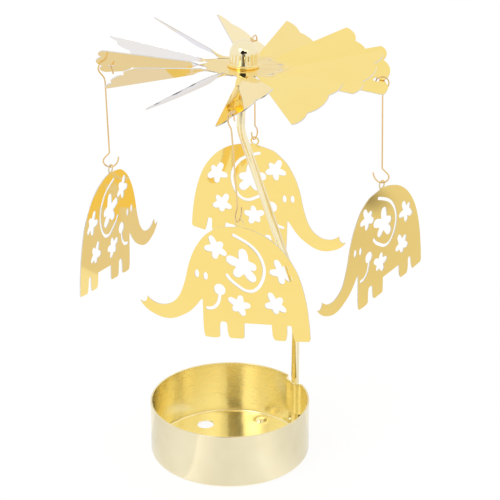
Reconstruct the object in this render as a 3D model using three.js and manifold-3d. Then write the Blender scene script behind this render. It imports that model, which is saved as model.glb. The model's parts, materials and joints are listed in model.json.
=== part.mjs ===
// Candle carousel: a brass cup for a tealight, a bent rod clipped in the cup's wall and a twelve-blade rotor
// that turns on a needle at the rod's top and carries four elephant pendants on wire hooks.
// Millimetres, +Z up, origin at the centre of the cup's underside, -Y towards the viewer.
import * as THREE from "three";
import { mergeVertices } from "three/addons/utils/BufferGeometryUtils.js";
import Module from "manifold-3d";

const wasm = await Module();
wasm.setup();

// Driving dimensions

// Cup: a shallow drawn cup for a tealight
const cupRadius = 32;
const cupHeight = 23.2;
const sheetWall = 0.7;
const cupEdgeRadius = 2.5;
const floorHoleRadius = 3.4;
const floorHoleX = -10.2;
const floorHoleY = 19.6;
const pipRadius = 2.8;
const pipHeight = 1.6;
const pipX = 12.7;
const pipY = 22.7;
const pipSink = 0.1;

// Rod clip: a strap pressed inwards above a slit in the cup's wall and a pocket pressed outwards below it
const clipAzimuthDeg = 31.2;
const clipHalfWidth = 5.4;
const slitBottom = 8.4;
const slitHeight = 0.7;
const pocketFloor = 2.6;
const clipClearance = 0.2;
const clipFlankShare = 0.45;
const clipFuse = 1;
const clipInset = 0.05;
const rodSetBack = 0.7;

// Rod: round bar, bent twice in one upright plane
const rodRadius = 1.6;
const rodFootGap = 0.2;
const rodLowerBendHeight = 64;
const rodLowerBendRadius = 12;
const rodUpperBendDrop = 30.9;
const rodUpperBendRadius = 16;
const rodUpperBendOvershoot = 1.5;
const needleProud = 7.7;
const rodTopTaper = 1.2;
const hubX = 5.8;
const hubY = 4.3;

// Needle: a hard pin pressed in the rod's top
const needleRadius = 0.8;
const needleTipHeight = 168.9;
const needlePointLength = 2.4;
const needleDepth = 5;
const pressGap = 0.02;
const pivotGap = 0.25;

// Rotor: twelve blades cut from one round sheet and twisted at their necks
const rotorSheet = 0.4;
const rotorDrop = 5.9;
const rotorTiltXDeg = 2.4;
const rotorTiltYDeg = 4.2;
const bladeCount = 12;
const bladeTwistsDeg = [32.9, 34.5, 33.2, 33, 34.1, 31.9, 33.8, 32, 32.5, 36.5, 32.6, 27.6];
const bladeSpringsDeg = [0, 0, 0, 0, 0, 0, 0, 0, 9, 0, 0, 0];
const bladeLiftsDeg = [0.8, 1.1, -1.8, -0.1, 1.1, -1, 0.1, 1.5, 0.5, -1.1, -0.5, 9.9];
const discRadius = 14;
const slitWidth = 3.3;
const twistLength = 6;
const sideLobeReach = 50.2;
const sideLobeOffset = 8.6;
const sideLobeRadius = 4.4;
const lobeCornerDeg = 58;
const lobeNotchDeg = 38;
const midLobeTip = 55.7;
const notchReach = 53.3;
const notchOffset = 5.1;
const hookHoleRadius = 1.15;
const hookHoleReach = 50.3;
const hookHoleOffset = -4.8;
const hookBladeStep = 3;
const rotorBore = 3.4;
const fuse = 0.8;

// Hub: a domed cap whose neck passes through the rotor and holds it with a washer
const capRadius = 5.4;
const capStraight = 4.9;
const capFlangeRadius = 6.2;
const capFlangeHeight = 0.9;
const capNeckRadius = 3.1;
const capBore = 2.45;
const capNeckLength = 1.2;
const bearingRadius = 2.43;
const bearingCrown = 1.8;
const bearingConeDepth = 1.6;
const bearingConeRadius = 1.5;
const bearingChamfer = 0.5;
const washerRadius = 4.6;
const washerThickness = 0.4;

// Hooks: bent spring wire
const wireRadius = 0.3;
const rightHookLength = 42.1;
const backHookLength = 43.1;
const leftHookLength = 41.6;
const frontHookLength = 41.5;
const hookLeansDeg = { right: 2, back: 0.6, left: 0.8, front: 3.6 };
const hookTurnsDeg = { right: 0, back: -20, left: 0, front: -18 };
const hookLoopReach = 4.8;
const hookLoopDrop = 6.6;
const hookShankTop = 2.35;
const hookShankBottom = 1.9;
const hookCurlWidth = 6;
const hookCurlHeight = 6.1;

// Pendants: sheet-metal elephants with a ring tab on the back
const pendantSheet = 0.4;
const pendantLength = 69.3;
const pendantHeight = 47.4;
const ringInnerRadius = 1.3;
const ringOuterRadius = 1.9;
const ringGap = 0.25;
const ringBite = 0.4;
const pendantTurnsDeg = { right: 33.6, back: 19.5, left: 19.7, front: 19.1 };

// Overrun of the cutters that pass right through
const overrun = 2;

// Facets
const cupFacets = 72;
const rodFacets = 16;
const wireFacets = 6;
const hubFacets = 32;
const smallFacets = 24;

// Tables of outline points, as shares of the sizes that they follow

// The elephant's outline about its ring's centre, shares of the pendant's length and height
const headShares = [
  [0.101, -0.059],
  [0.145, -0.089],
  [0.2, -0.156],
  [0.235, -0.226],
  [0.266, -0.31],
  [0.293, -0.424],
  [0.312, -0.547],
  [0.33, -0.635],
  [0.351, -0.709],
  [0.384, -0.77],
  [0.427, -0.806],
  [0.47, -0.814],
  [0.507, -0.802],
  [0.543, -0.766],
];
const trunkForkShares = [
  [0.546, -0.793],
  [0.553, -0.815],
  [0.566, -0.824],
];
const trunkUndersideShares = [
  [0.586, -0.814],
  [0.57, -0.847],
  [0.54, -0.884],
  [0.499, -0.912],
  [0.444, -0.93],
  [0.389, -0.919],
  [0.333, -0.878],
  [0.287, -0.829],
  [0.25, -0.768],
  [0.228, -0.722],
  [0.212, -0.7],
];
const legShares = [
  [0.201, -1.009],
  [0.192, -1.026],
  [0.12, -1.012],
  [0.11, -0.999],
  [0.107, -0.882],
  [0.1, -0.867],
  [0.077, -0.866],
  [0.069, -0.877],
  [0.06, -0.973],
  [0.054, -0.991],
  [0.045, -0.999],
  [-0.024, -0.985],
  [-0.033, -0.971],
  [-0.033, -0.847],
  [-0.192, -0.816],
  [-0.198, -0.905],
  [-0.204, -0.93],
  [-0.216, -0.945],
  [-0.269, -0.935],
  [-0.277, -0.916],
  [-0.28, -0.804],
  [-0.291, -0.794],
  [-0.306, -0.798],
  [-0.323, -0.907],
  [-0.329, -0.922],
  [-0.406, -0.903],
  [-0.414, -0.882],
];
const rumpShares = [
  [-0.411, -0.8],
  [-0.402, -0.69],
  [-0.389, -0.575],
  [-0.366, -0.449],
  [-0.336, -0.337],
  [-0.293, -0.238],
  [-0.238, -0.152],
  [-0.173, -0.089],
  [-0.115, -0.057],
  [-0.058, -0.036],
];

// The slot that draws the ear and the one that draws the mouth, and the two eyes and the cheek
const earShares = [
  [0.03, -0.107],
  [-0.014, -0.131],
  [-0.059, -0.162],
  [-0.097, -0.203],
  [-0.127, -0.262],
  [-0.144, -0.325],
  [-0.147, -0.384],
  [-0.137, -0.451],
  [-0.114, -0.515],
  [-0.081, -0.555],
  [-0.039, -0.561],
  [0.006, -0.53],
  [0.045, -0.494],
  [0.068, -0.456],
];
const mouthShares = [
  [0.111, -0.6],
  [0.112, -0.655],
  [0.119, -0.703],
  [0.136, -0.744],
  [0.158, -0.766],
  [0.184, -0.773],
];
const eyeShares = [
  [0.244, -0.489],
  [0.193, -0.498],
];
const cheekShare = [0.111, -0.593];

// Sizes of the cut-outs, shares of the pendant's length at its drawn proportion of height to length
const drawnHeightShare = 0.684;
const eyeHalfWidthShare = 0.0123;
const eyeHalfHeightShare = 0.0231;
const cheekRadiusShare = 0.0332;
const slotHalfWidthShare = 0.009;
const flowerReachShare = 0.0678;
const flowerPetalShare = 0.0335;
const flowerValleyShare = 0.0355;
const bigFlowerReachShare = 0.0981;
const bigFlowerPetalShare = 0.0495;
const bigFlowerValleyShare = 0.0455;

// Five-petalled flowers: place in shares, and each petal's direction in degrees and its share of the reach
const flowers = [
  { share: [0.131, -0.243], petals: [[62, 1.13], [134, 0.8], [206, 1], [278, 0.97], [350, 1.06]] },
  { share: [-0.247, -0.354], petals: [[62, 1.16], [126, 0.79], [211, 1.03], [269, 0.98], [352, 1.06]] },
  { share: [-0.003, -0.7], petals: [[27, 1.06], [99, 0.92], [171, 0.99], [243, 0.95], [315, 0.77]] },
  { share: [-0.214, -0.639], petals: [[60, 1.14], [126, 0.89], [203, 0.97], [267, 0.8], [344, 0.97]] },
];
const bigFlower = {
  share: [-0.028, -0.355],
  petals: [[17, 1.08], [86, 1.03], [176, 0.77], [231, 1.06], [307, 0.88]],
};

// The hook's upper loop about the hole, shares of the loop's reach and drop
const loopShares = [
  [-0.188, -0.5],
  [-0.115, -0.273],
  [-0.021, -0.061],
  [0.094, 0.091],
  [0.271, 0.159],
  [0.479, 0.174],
  [0.688, 0.159],
  [0.865, 0.068],
  [0.969, -0.091],
  [0.99, -0.242],
  [0.896, -0.424],
  [0.708, -0.591],
  [0.552, -0.773],
];

// The hook's lower curl, from the shank's foot to the free tip, shares of the curl's width and height
const curlFootShare = -0.03;
const curlShares = [
  [0.06, 0.9],
  [0.2, 0.76],
  [0.36, 0.58],
  [0.42, 0.4],
  [0.36, 0.2],
  [0.18, 0.05],
  [curlFootShare, 0],
  [-0.25, 0.07],
  [-0.44, 0.26],
  [-0.54, 0.46],
  [-0.58, 0.69],
];

// Derived places

const radians = THREE.MathUtils.degToRad;
const cupInnerRadius = cupRadius - sheetWall;
const wallMiddle = cupRadius - sheetWall / 2;
const clipAzimuth = radians(clipAzimuthDeg);
const rodCircle = cupRadius - rodSetBack;
const rodFootX = rodCircle * Math.cos(clipAzimuth);
const rodFootY = rodCircle * Math.sin(clipAzimuth);
const rodFootHeight = pocketFloor + sheetWall + rodFootGap;
const rodReach = Math.hypot(rodFootX - hubX, rodFootY - hubY);
const rodPlaneTurn = Math.atan2(rodFootY - hubY, rodFootX - hubX);
const pivotHeight = needleTipHeight + pivotGap;
const rodTop = needleTipHeight - needleProud;
const rodUpperBendHeight = needleTipHeight - rodUpperBendDrop;
const hookBlades = bladeCount / hookBladeStep;
const ringBelowCurl = ringInnerRadius - wireRadius - ringGap;
const pendantNames = ["right", "back", "left", "front"];
const hookLengths = {
  right: rightHookLength,
  back: backHookLength,
  left: leftHookLength,
  front: frontHookLength,
};

// Materials

const metal = (name, color, roughness) => {
  const material = new THREE.MeshStandardMaterial({ color, roughness, metalness: 1 });
  material.name = name;
  return material;
};
const cupBrass = metal("brushed_brass", 0xe9dcae, 0.35);
const rodBrass = metal("polished_rod", 0xe8d9a8, 0.15);
const rotorGold = metal("polished_sheet", 0xf3d991, 0.08);
const hubGold = metal("polished_cap", 0xe9dcb4, 0.06);
const needleSteel = metal("hard_steel", 0xb9bcc0, 0.2);
const hookWire = metal("hook_wire", 0xe0bb74, 0.2);
const pendantGold = metal("pendant_sheet", 0xf5d67f, 0.12);

// Closed geometry joined and cut as solids

function solidOf(geometry) {
  const bare = geometry.clone();
  bare.deleteAttribute("normal");
  bare.deleteAttribute("uv");
  const merged = mergeVertices(bare);
  return new wasm.Manifold(
    new wasm.Mesh({
      numProp: 3,
      vertProperties: merged.attributes.position.array,
      triVerts: new Uint32Array(merged.index.array),
    }),
  );
}

function geometryOf(solid) {
  const mesh = solid.getMesh();
  const geometry = new THREE.BufferGeometry();
  geometry.setAttribute("position", new THREE.BufferAttribute(mesh.vertProperties, 3));
  geometry.setIndex(new THREE.BufferAttribute(mesh.triVerts, 1));
  const faceted = geometry.toNonIndexed();
  faceted.computeVertexNormals();
  return faceted;
}

const joined = (...geometries) => {
  const solids = geometries.map(solidOf);
  return geometryOf(solids.reduce((whole, piece) => whole.add(piece)));
};

const cut = (geometry, ...cutters) => {
  const whole = solidOf(geometry);
  return geometryOf(cutters.map(solidOf).reduce((left, cutter) => left.subtract(cutter), whole));
};

// A flat outline given a thickness, standing on the plane z = 0
const plate = (shape, thickness) => {
  const options = { depth: thickness, bevelEnabled: false, curveSegments: smallFacets / 4 };
  return new THREE.ExtrudeGeometry(shape, options);
};

// A turned piece: the profile starts and ends on the axis or closes on itself, radius first, then height
function turned(profile, facets) {
  const points = profile.map(([radius, height]) => new THREE.Vector2(radius, height));
  const geometry = new THREE.LatheGeometry(points, facets);
  return geometry.rotateX(Math.PI / 2);
}

// Points of a round stretch about a centre, both ends included
function arc(centreX, centreY, radius, fromDeg, toDeg, steps) {
  return Array.from({ length: steps + 1 }, (unused, i) => {
    const angle = radians(fromDeg + ((toDeg - fromDeg) * i) / steps);
    return [centreX + radius * Math.cos(angle), centreY + radius * Math.sin(angle)];
  });
}

const shapeOf = (points) => new THREE.Shape(points.map(([x, y]) => new THREE.Vector2(x, y)));
const pathOf = (points) => new THREE.Path(points.map(([x, y]) => new THREE.Vector2(x, y)));

// A smooth curve through points, sampled evenly
function smooth(points, steps) {
  const curve = new THREE.SplineCurve(points.map(([x, y]) => new THREE.Vector2(x, y)));
  return curve.getPoints(steps).map((p) => [p.x, p.y]);
}

// A round bar along a route: one ring of facets at each of the route's points
class Route extends THREE.Curve {
  constructor(points) {
    super();
    this.points = points;
  }
  getPoint(share) {
    const last = this.points.length - 1;
    const index = Math.min(Math.round(share * last), last);
    return this.points[index].clone();
  }
  getPointAt(share) {
    return this.getPoint(share);
  }
  getTangentAt(share) {
    const last = this.points.length - 1;
    const index = Math.min(Math.round(share * last), last);
    const before = this.points[Math.max(index - 1, 0)];
    const after = this.points[Math.min(index + 1, last)];
    return after.clone().sub(before).normalize();
  }
}

function bar(points, radius, facets) {
  const route = new Route(points);
  const section = shapeOf(arc(0, 0, radius, 0, 360, facets).slice(0, facets));
  const options = { steps: points.length - 1, extrudePath: route, bevelEnabled: false };
  return new THREE.ExtrudeGeometry(section, options);
}

// The bend between two straight runs: points of the arc that rounds the corner
function bend(before, corner, after, radius, steps) {
  const into = corner.clone().sub(before).normalize();
  const away = after.clone().sub(corner).normalize();
  const turn = into.angleTo(away);
  const length = radius * Math.tan(turn / 2);
  const start = corner.clone().addScaledVector(into, -length);
  const inward = away.clone().addScaledVector(into, -away.dot(into)).normalize();
  const centre = start.clone().addScaledVector(inward, radius);
  return Array.from({ length: steps + 1 }, (unused, i) => {
    const angle = (turn * i) / steps;
    const spoke = inward.clone().multiplyScalar(-Math.cos(angle)).addScaledVector(into, Math.sin(angle));
    return centre.clone().addScaledVector(spoke, radius);
  });
}

// Cup

// A stretch of the cup's wall at the clip, its two faces pressed in or out by their own amounts
function wallStrip(low, high, innerFace, outerFace) {
  const half = clipHalfWidth / wallMiddle;
  const reach = 1 + clipFuse / clipHalfWidth;
  const steps = 22;
  const edge = ({ radius, press }) => (side) => {
    const swell = press * THREE.MathUtils.smoothstep(1 - Math.abs(side), 0, clipFlankShare);
    const angle = clipAzimuth + half * side;
    return [(radius + swell) * Math.cos(angle), (radius + swell) * Math.sin(angle)];
  };
  const sides = Array.from({ length: steps + 1 }, (unused, i) => reach * ((2 * i) / steps - 1));
  const outline = [...sides.map(edge(outerFace)), ...sides.reverse().map(edge(innerFace))];
  return plate(shapeOf(outline), high - low).translate(0, 0, low);
}

function cupGeometry() {
  const outerCorner = arc(cupRadius - cupEdgeRadius, cupEdgeRadius, cupEdgeRadius, -90, 0, 4);
  const innerCorner = arc(cupRadius - cupEdgeRadius, cupEdgeRadius, cupEdgeRadius - sheetWall, 0, -90, 3);
  const profile = [
    [0, 0],
    ...outerCorner,
    [cupRadius, cupHeight],
    [cupInnerRadius, cupHeight],
    ...innerCorner,
    [0, sheetWall],
  ];
  const shell = turned(profile, cupFacets);
  const skin = sheetWall / 2 - clipInset;
  const face = (side, press) => ({ radius: wallMiddle + side * skin, press });
  const strapPress = rodCircle - rodRadius - clipClearance - sheetWall / 2 - wallMiddle;
  const pocketPress = rodCircle + rodRadius + clipClearance + sheetWall / 2 - wallMiddle;
  const ledgeTop = pocketFloor + sheetWall;
  const window = windowGeometry(pocketFloor + sheetWall / 2, cupHeight + overrun);
  const strap = wallStrip(slitBottom + slitHeight, cupHeight, face(-1, strapPress), face(1, strapPress));
  const pocket = wallStrip(pocketFloor, slitBottom, face(-1, pocketPress), face(1, pocketPress));
  const ledge = wallStrip(pocketFloor, ledgeTop, face(-1, 0), face(1, pocketPress));
  const pip = turned(dome(pipRadius, pipHeight, sheetWall), smallFacets).translate(pipX, pipY, 0);
  const dimple = turned(dome(pipRadius - sheetWall, pipHeight, 0), smallFacets);
  dimple.translate(pipX, pipY, -pipSink);
  const hole = turned(rodProfile(floorHoleRadius, -overrun, overrun), smallFacets);
  hole.translate(floorHoleX, floorHoleY, 0);
  return cut(joined(cut(shell, window), strap, pocket, ledge, pip), hole, dimple);
}

// The opening in the wall that the strap and the pocket stand in
function windowGeometry(low, high) {
  const half = THREE.MathUtils.radToDeg(clipHalfWidth / wallMiddle);
  const inner = arc(0, 0, cupInnerRadius - overrun, clipAzimuthDeg - half, clipAzimuthDeg + half, 6);
  const outer = arc(0, 0, cupRadius + overrun, clipAzimuthDeg + half, clipAzimuthDeg - half, 6);
  return plate(shapeOf([...inner, ...outer]), high - low).translate(0, 0, low);
}

// A straight round bar's profile
const rodProfile = (radius, low, high) => [
  [0, low],
  [radius, low],
  [radius, high],
  [0, high],
];

// A low dome's profile over a short round foot
const dome = (radius, height, foot) => [
  [0, 0],
  [radius, 0],
  ...arc(0, 0, 1, 0, 80, 5).map(([across, up]) => [radius * across, foot + height * up]),
  [0, foot + height],
];

// Rod and needle

// A place in the rod's upright plane: distance from the hub towards the foot, and height
function rodPlane(reach, height) {
  const x = hubX + reach * Math.cos(rodPlaneTurn);
  const y = hubY + reach * Math.sin(rodPlaneTurn);
  return new THREE.Vector3(x, y, height);
}

function rodCorners() {
  const foot = rodPlane(rodReach, rodFootHeight);
  const lower = rodPlane(rodReach, rodLowerBendHeight);
  const upper = rodPlane(-rodUpperBendOvershoot, rodUpperBendHeight);
  const tip = rodPlane(0, needleTipHeight);
  return { foot, lower, upper, tip };
}

// The direction of the rod's last run, which the needle follows
function topRun() {
  const { upper, tip } = rodCorners();
  return tip.clone().sub(upper).normalize();
}

const alongTop = (height) => {
  const { tip } = rodCorners();
  const run = topRun();
  return tip.clone().addScaledVector(run, (height - needleTipHeight) / run.z);
};

function rodGeometry() {
  const { foot, lower, upper } = rodCorners();
  const top = alongTop(rodTop);
  const points = [
    foot,
    ...bend(foot, lower, upper, rodLowerBendRadius, 5),
    ...bend(lower, upper, top, rodUpperBendRadius, 6),
    alongTop(rodTop - rodTopTaper),
  ];
  const body = bar(points, rodRadius, rodFacets);
  const collar = turned(
    [
      [0, -rodTopTaper - overrun],
      [rodRadius, -rodTopTaper - overrun],
      [rodRadius, -rodTopTaper],
      [needleRadius + pressGap + (rodRadius - needleRadius) / 3, 0],
      [0, 0],
    ],
    rodFacets,
  );
  const bore = turned(rodProfile(needleRadius + pressGap, -needleDepth - pressGap, overrun), rodFacets);
  return cut(joined(body, alignTop(collar)), alignTop(bore));
}

// Carries a piece that stands on +Z about the origin to the rod's top, along its last run
function alignTop(geometry) {
  const turn = new THREE.Quaternion().setFromUnitVectors(new THREE.Vector3(0, 0, 1), topRun());
  const top = alongTop(rodTop);
  return geometry.applyQuaternion(turn).translate(top.x, top.y, top.z);
}

function needleGeometry() {
  const length = (needleTipHeight - rodTop) / topRun().z;
  const pin = turned(
    [
      [0, -needleDepth],
      [needleRadius, -needleDepth],
      [needleRadius, length - needlePointLength],
      [0, length],
    ],
    smallFacets / 2,
  );
  return alignTop(pin);
}

// Rotor

// A point of a flat blade after its neck is twisted about its midline and the blade is lifted. One blade is
// twisted too far at its neck and springs back by its end.
function twisted(point, k) {
  const share = THREE.MathUtils.clamp((point.x - discRadius) / twistLength, 0, 1);
  const neckEnd = discRadius + twistLength;
  const toGo = THREE.MathUtils.clamp((midLobeTip - point.x) / (midLobeTip - neckEnd), 0, 1);
  const spring = bladeSpringsDeg[k % bladeSpringsDeg.length] * toGo;
  const twist = radians(bladeTwistsDeg[k % bladeTwistsDeg.length] + spring);
  const lift = radians(bladeLiftsDeg[k % bladeLiftsDeg.length]);
  const past = Math.max(point.x - discRadius, 0);
  point.applyAxisAngle(new THREE.Vector3(1, 0, 0), twist * share);
  point.add(new THREE.Vector3(-past * (1 - Math.cos(lift)), 0, past * Math.sin(lift)));
  return point.applyAxisAngle(new THREE.Vector3(0, 0, 1), (2 * Math.PI * k) / bladeCount);
}

// The two edges of a blade's neck, from the disc outwards, and the scalloped rest of its outline
function bladeOutline() {
  const halfPitch = Math.PI / bladeCount;
  const halfPitchDeg = 180 / bladeCount;
  const halfSlit = slitWidth / 2;
  const slitEnd = discRadius + halfSlit;
  const edgeAt = (reach) => [reach, reach * Math.tan(halfPitch) - halfSlit / Math.cos(halfPitch)];
  const root = [discRadius - fuse, (discRadius - fuse) * Math.tan(halfPitch) - fuse / 2];
  const corner = arc(
    slitEnd * Math.cos(halfPitch),
    slitEnd * Math.sin(halfPitch),
    halfSlit,
    180 + halfPitchDeg,
    270 + halfPitchDeg,
    5,
  );
  const twistSteps = 5;
  const straight = Array.from({ length: twistSteps - 1 }, (unused, i) => {
    return edgeAt(discRadius + (twistLength * (i + 2)) / twistSteps);
  });
  const neckEnd = discRadius + twistLength;
  const springReaches = [1, 2].map((step) => neckEnd + ((sideLobeReach - neckEnd) * step) / 3);
  const left = [root, ...corner, ...straight, ...springReaches.map(edgeAt)];
  const lobe = arc(sideLobeReach, sideLobeOffset, sideLobeRadius, lobeCornerDeg, -lobeNotchDeg, 7);
  const rise = midLobeTip - notchReach;
  const bow = (notchOffset * notchOffset + rise * rise) / (2 * rise);
  const spread = THREE.MathUtils.radToDeg(Math.asin(notchOffset / bow));
  const middle = arc(midLobeTip - bow, 0, bow, spread, -spread, 8);
  const mirrored = (points) => points.map(([x, y]) => [x, -y]);
  const end = [...lobe, ...middle, ...mirrored(lobe).reverse()];
  return { left, right: mirrored(left), end };
}

// One blade as a closed body: quads along the neck, one flat face beyond it and a wall all round
function bladeGeometry(k) {
  const { left, right, end } = bladeOutline();
  const hooked = k % hookBladeStep === 0;
  const hole = hooked ? arc(hookHoleReach, hookHoleOffset, hookHoleRadius, 0, 360, 12).slice(0, 12) : [];
  const flat = [...left, ...end, ...right.slice().reverse(), ...hole];
  const rim = flat.length - hole.length;
  const faces = left.slice(1).flatMap((unused, i) => [
    [i, rim - 1 - i, i + 1],
    [i + 1, rim - 1 - i, rim - 2 - i],
  ]);
  const first = left.length - 1;
  const blank = flat.slice(first, rim - first).map(([x, y]) => new THREE.Vector2(x, y));
  const opening = hole.map(([x, y]) => new THREE.Vector2(x, y));
  const index = (i) => (i < blank.length ? first + i : rim + i - blank.length);
  const cells = THREE.ShapeUtils.triangulateShape(blank, hooked ? [opening] : []);
  faces.push(...cells.map((cell) => cell.map(index)));
  return sheetGeometry(flat, faces, [rim, hole.length], (point) => twisted(point, k));
}

// Closes a sheet from its flat points, its faces and the number of points in each of its rims
function sheetGeometry(flat, faces, rims, shift) {
  const place = ([x, y], z) => shift(new THREE.Vector3(x, y, z)).toArray();
  const over = flat.map((point) => place(point, rotorSheet / 2));
  const below = flat.map((point) => place(point, -rotorSheet / 2));
  const count = flat.length;
  const walls = rims.flatMap((length, i) => {
    const start = i ? rims[i - 1] : 0;
    return Array.from({ length }, (unused, j) => [start + j, start + ((j + 1) % length)]);
  });
  const upward = faces.map((face) => facingUp(flat, face));
  const triangles = [
    ...upward,
    ...upward.map(([a, b, c]) => [a + count, c + count, b + count]),
    ...walls.flatMap(([a, b]) => [
      [a, b, b + count],
      [a, b + count, a + count],
    ]),
  ];
  const geometry = new THREE.BufferGeometry();
  geometry.setAttribute("position", new THREE.Float32BufferAttribute([...over, ...below].flat(), 3));
  geometry.setIndex(triangles.flat());
  return geometry;
}

// A face's corners in anticlockwise order
function facingUp(flat, [a, b, c]) {
  const [ax, ay] = flat[a];
  const [bx, by] = flat[b];
  const [cx, cy] = flat[c];
  return (bx - ax) * (cy - ay) - (by - ay) * (cx - ax) > 0 ? [a, b, c] : [a, c, b];
}

function rotorGeometry() {
  const disc = plate(shapeOf(arc(0, 0, discRadius, 0, 360, 4 * bladeCount).slice(0, -1)), rotorSheet);
  disc.translate(0, 0, -rotorSheet / 2);
  const blades = Array.from({ length: bladeCount }, (unused, k) => bladeGeometry(k));
  const bore = turned(rodProfile(rotorBore, -overrun, overrun), smallFacets);
  return cut(joined(disc, ...blades), bore);
}

// Hub

// The cap in one turned piece, standing on the sheet at z = 0, with a blind bore for the bearing
function capGeometry() {
  const boreTop = rotorDrop - rotorSheet / 2 + bearingCrown;
  return turned(
    [
      [capBore, -capNeckLength],
      [capNeckRadius, -capNeckLength],
      [capNeckRadius, 0],
      [capFlangeRadius, 0],
      [capFlangeRadius, capFlangeHeight],
      [capRadius, capFlangeHeight],
      ...arc(0, capStraight, capRadius, 0, 80, 8),
      [0, capStraight + capRadius],
      [0, boreTop],
      [capBore, boreTop],
      [capBore, -capNeckLength],
    ],
    hubFacets,
  );
}

// A hard cup that the needle's point runs in, standing mouth down with its cone's apex at z = 0
function bearingGeometry() {
  return turned(
    [
      [0, 0],
      [bearingConeRadius, -bearingConeDepth],
      [bearingRadius, -bearingConeDepth],
      [bearingRadius, bearingCrown - bearingChamfer],
      [bearingRadius - bearingChamfer, bearingCrown],
      [0, bearingCrown],
    ],
    smallFacets,
  );
}

function washerGeometry() {
  return turned(
    [
      [capNeckRadius + pressGap, 0],
      [washerRadius, 0],
      [washerRadius, washerThickness],
      [capNeckRadius + pressGap, washerThickness],
      [capNeckRadius + pressGap, 0],
    ],
    hubFacets,
  );
}

// Hooks

function hookGeometry(length) {
  const loop = loopShares.map(([across, up]) => [across * hookLoopReach, up * hookLoopDrop]);
  const shankTop = [hookShankTop, -hookLoopDrop];
  const shankBottom = [hookShankBottom, hookCurlHeight - length];
  const curl = curlShares.map(([across, up]) => {
    return [hookShankBottom + across * hookCurlWidth, up * hookCurlHeight - length];
  });
  const upper = smooth([...loop, shankTop], 24);
  const lower = smooth([shankBottom, ...curl], 20);
  const points = [...upper, ...lower].map(([across, up]) => new THREE.Vector3(across, 0, up));
  return bar(points, wireRadius, wireFacets);
}

// Pendants

const onPendant = ([along, up]) => [along * pendantLength, up * pendantHeight];

// Cut-outs are drawn about their own centre in shares and stretch with the pendant both ways
const placed = (centre, points) => {
  const [x, y] = onPendant(centre);
  const rise = pendantHeight / drawnHeightShare;
  return points.map(([along, up]) => [x + along * pendantLength, y + up * rise]);
};

// Each petal ends in a round tip, with a notch halfway to the next one
function flowerPath({ share, petals }, reach, petal, valley) {
  const points = petals.flatMap(([angleDeg, reachShare], i) => {
    const nextDeg = i + 1 < petals.length ? petals[i + 1][0] : petals[0][0] + 360;
    const tipCentre = reachShare * reach - petal / 2;
    const tipX = tipCentre * Math.cos(radians(angleDeg));
    const tipY = tipCentre * Math.sin(radians(angleDeg));
    const tip = arc(tipX, tipY, petal / 2, angleDeg - 80, angleDeg + 80, 4);
    const dip = radians((angleDeg + nextDeg) / 2);
    return [...tip, [valley * Math.cos(dip), valley * Math.sin(dip)]];
  });
  return pathOf(placed(share, points));
}

// A slot of one width with round ends along a curve
function slotPoints(shares, steps) {
  const line = smooth(shares.map(([along, up]) => [along, up * drawnHeightShare]), steps);
  const half = slotHalfWidthShare;
  const headings = line.map((unused, i) => {
    const [ax, ay] = line[Math.max(i - 1, 0)];
    const [bx, by] = line[Math.min(i + 1, steps)];
    return Math.atan2(by - ay, bx - ax);
  });
  const beside = (sign) => ([x, y], i) => {
    const across = headings[i] + (sign * Math.PI) / 2;
    return [x + half * Math.cos(across), y + half * Math.sin(across)];
  };
  const end = ([x, y], heading) => {
    const facing = THREE.MathUtils.radToDeg(heading);
    return arc(x, y, half, facing - 45, facing + 45, 2);
  };
  const outline = [
    ...line.map(beside(-1)),
    ...end(line[steps], headings[steps]),
    ...line.map(beside(1)).reverse(),
    ...end(line[0], headings[0] + Math.PI),
  ];
  return placed([0, 0], outline);
}

function pendantGeometry() {
  const crown = [0, -ringOuterRadius + ringBite];
  const head = smooth([crown, ...headShares.map(onPendant)], 30);
  const underside = smooth(trunkUndersideShares.map(onPendant), 20);
  const rump = smooth([...legShares.slice(-1), ...rumpShares].map(onPendant).concat([crown]), 22);
  const outline = [
    ...head,
    ...trunkForkShares.map(onPendant),
    ...underside,
    ...legShares.slice(0, -1).map(onPendant),
    ...rump.slice(0, -1),
  ];
  const body = shapeOf(outline);
  flowers.forEach((flower) => {
    body.holes.push(flowerPath(flower, flowerReachShare, flowerPetalShare, flowerValleyShare));
  });
  body.holes.push(flowerPath(bigFlower, bigFlowerReachShare, bigFlowerPetalShare, bigFlowerValleyShare));
  body.holes.push(pathOf(slotPoints(earShares, 32)));
  const round = arc(0, 0, 1, 0, 360, 16).slice(0, 16);
  const eye = round.map(([u, v]) => [eyeHalfWidthShare * u, eyeHalfHeightShare * v]);
  eyeShares.forEach((share) => body.holes.push(pathOf(placed(share, eye))));
  const ring = shapeOf(arc(0, 0, ringOuterRadius, 0, 360, 20).slice(0, 20));
  ring.holes.push(pathOf(arc(0, 0, ringInnerRadius, 0, 360, 16).slice(0, 16)));
  const cheekRound = round.map(([u, v]) => [cheekRadiusShare * u, cheekRadiusShare * v]);
  const cheek = plate(shapeOf(placed(cheekShare, cheekRound)), overrun);
  const mouth = plate(shapeOf(slotPoints(mouthShares, 12)), overrun);
  const cutters = [cheek, mouth].map((cutter) => cutter.translate(0, 0, -overrun / 2));
  const sheet = joined(plate(body, pendantSheet), plate(ring, pendantSheet));
  return cut(sheet.translate(0, 0, -pendantSheet / 2), ...cutters);
}

// Assembly

const carousel = new THREE.Group();

function add(parent, name, geometry, material) {
  const mesh = new THREE.Mesh(geometry, material);
  mesh.name = name;
  parent.add(mesh);
  return mesh;
}

add(carousel, "candle_cup", cupGeometry(), cupBrass);
add(carousel, "support_rod", rodGeometry(), rodBrass);
add(carousel, "needle_point", needleGeometry(), needleSteel);

// The rotor hangs by its bearing on the needle's point and leans a little as it hangs
const rotor = new THREE.Group();
rotor.position.set(hubX, hubY, pivotHeight);
rotor.rotation.set(radians(-rotorTiltYDeg), radians(rotorTiltXDeg), 0);
carousel.add(rotor);

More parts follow.
